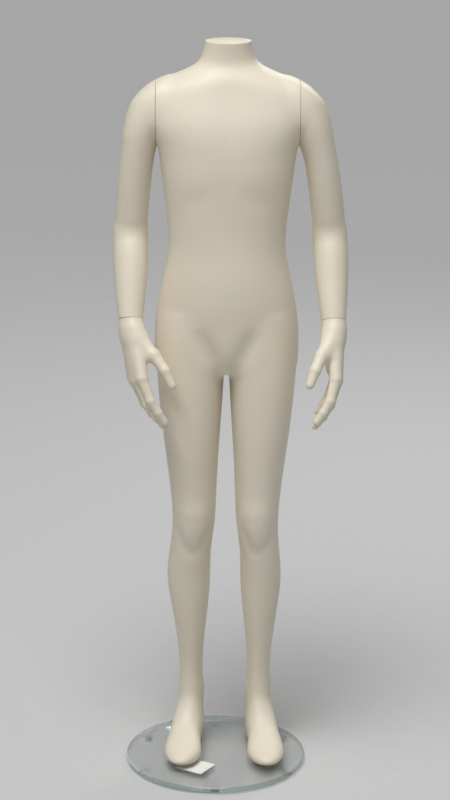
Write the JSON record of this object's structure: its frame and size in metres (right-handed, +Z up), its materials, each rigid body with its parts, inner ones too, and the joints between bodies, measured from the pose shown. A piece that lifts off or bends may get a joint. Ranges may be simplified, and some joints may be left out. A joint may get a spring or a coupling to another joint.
{
  "type": "full body display mannequin",
  "caption": "Headless standing child display mannequin: hollow body shell on a spigot in a round glass base, with lift-off figure and removable turning arms and hands.",
  "frame": {"origin": "on the floor under the figure's midline, at the middle of the whole object's footprint", "axes": "+Z up, the figure faces -Y, its own left side is at +X"},
  "size_m": [0.3859, 0.305, 1.231],
  "materials": {
    "painted_laminate": "satin",
    "cast_hand": "satin",
    "glass": "gloss",
    "clear_bumper": "gloss",
    "steel": "satin",
    "zinc_screw": "satin",
    "nylon": "satin",
    "gasket": "matte",
    "plywood": "matte",
    "cast_alloy": "satin",
    "card": "matte"
  },
  "bodies": {
    "base": {"glass_base": "glass", "base_bumpers": "clear_bumper", "foot_spigot": "steel", "spigot_gasket": "gasket", "spigot_sleeve": "nylon", "clamp_screw": "steel", "levelling_card": "card"},
    "figure": {"body_shell": "painted_laminate", "foot_socket_tube": "steel", "shoulder_screws": "zinc_screw", "left_shoulder_block": "plywood", "left_shoulder_housing": "cast_alloy", "left_shoulder_retainer": "steel", "left_shoulder_spring": "steel", "right_shoulder_block": "plywood", "right_shoulder_housing": "cast_alloy", "right_shoulder_retainer": "steel", "right_shoulder_spring": "steel"},
    "left_shoulder": {"left_shoulder_bush": "nylon"},
    "left_arm": {"left_arm_shell": "painted_laminate", "left_arm_block": "plywood", "left_arm_peg": "cast_alloy", "left_arm_screws": "zinc_screw", "left_wrist_housing": "cast_alloy", "left_wrist_retainer": "steel"},
    "left_wrist": {"left_wrist_bush": "nylon"},
    "left_hand_piece": {"left_hand": "cast_hand", "left_hand_peg": "steel"},
    "right_shoulder": {"right_shoulder_bush": "nylon"},
    "right_arm": {"right_arm_shell": "painted_laminate", "right_arm_block": "plywood", "right_arm_peg": "cast_alloy", "right_arm_screws": "zinc_screw", "right_wrist_housing": "cast_alloy", "right_wrist_retainer": "steel"},
    "right_wrist": {"right_wrist_bush": "nylon"},
    "right_hand_piece": {"right_hand": "cast_hand", "right_hand_peg": "steel"}
  },
  "joints": [
    {"name": "figure_lift", "type": "slide", "parent": "base", "child": "figure", "axis": [0, 0, 1], "range_m": [0, 0.11]},
    {"name": "left_shoulder_turn", "type": "hinge", "parent": "figure", "child": "left_shoulder", "pos_m": [0.116, 0.026, 1.112], "axis": [-1, 0, 0], "range_deg": [0, 100]},
    {"name": "left_arm_pull", "type": "slide", "parent": "left_shoulder", "child": "left_arm", "axis": [1, 0, 0], "range_m": [0, 0.04]},
    {"name": "left_wrist_turn", "type": "hinge", "parent": "left_arm", "child": "left_wrist", "pos_m": [0.17449, -0.01749, 0.781], "axis": [0.0439, -0.4222, -0.9054], "range_deg": [-30, 30]},
    {"name": "left_hand_pull", "type": "slide", "parent": "left_wrist", "child": "left_hand_piece", "axis": [0.0439, -0.4222, -0.9054], "range_m": [0, 0.03]},
    {"name": "right_shoulder_turn", "type": "hinge", "parent": "figure", "child": "right_shoulder", "pos_m": [-0.116, 0.026, 1.112], "axis": [-1, 0, 0], "range_deg": [0, 100]},
    {"name": "right_arm_pull", "type": "slide", "parent": "right_shoulder", "child": "right_arm", "axis": [-1, 0, 0], "range_m": [0, 0.04]},
    {"name": "right_wrist_turn", "type": "hinge", "parent": "right_arm", "child": "right_wrist", "pos_m": [-0.157, -0.01754, 0.78087], "axis": [0.0101, -0.4226, -0.9063], "range_deg": [-30, 30]},
    {"name": "right_hand_pull", "type": "slide", "parent": "right_wrist", "child": "right_hand_piece", "axis": [0.0101, -0.4226, -0.9063], "range_m": [0, 0.03]}
  ]
}
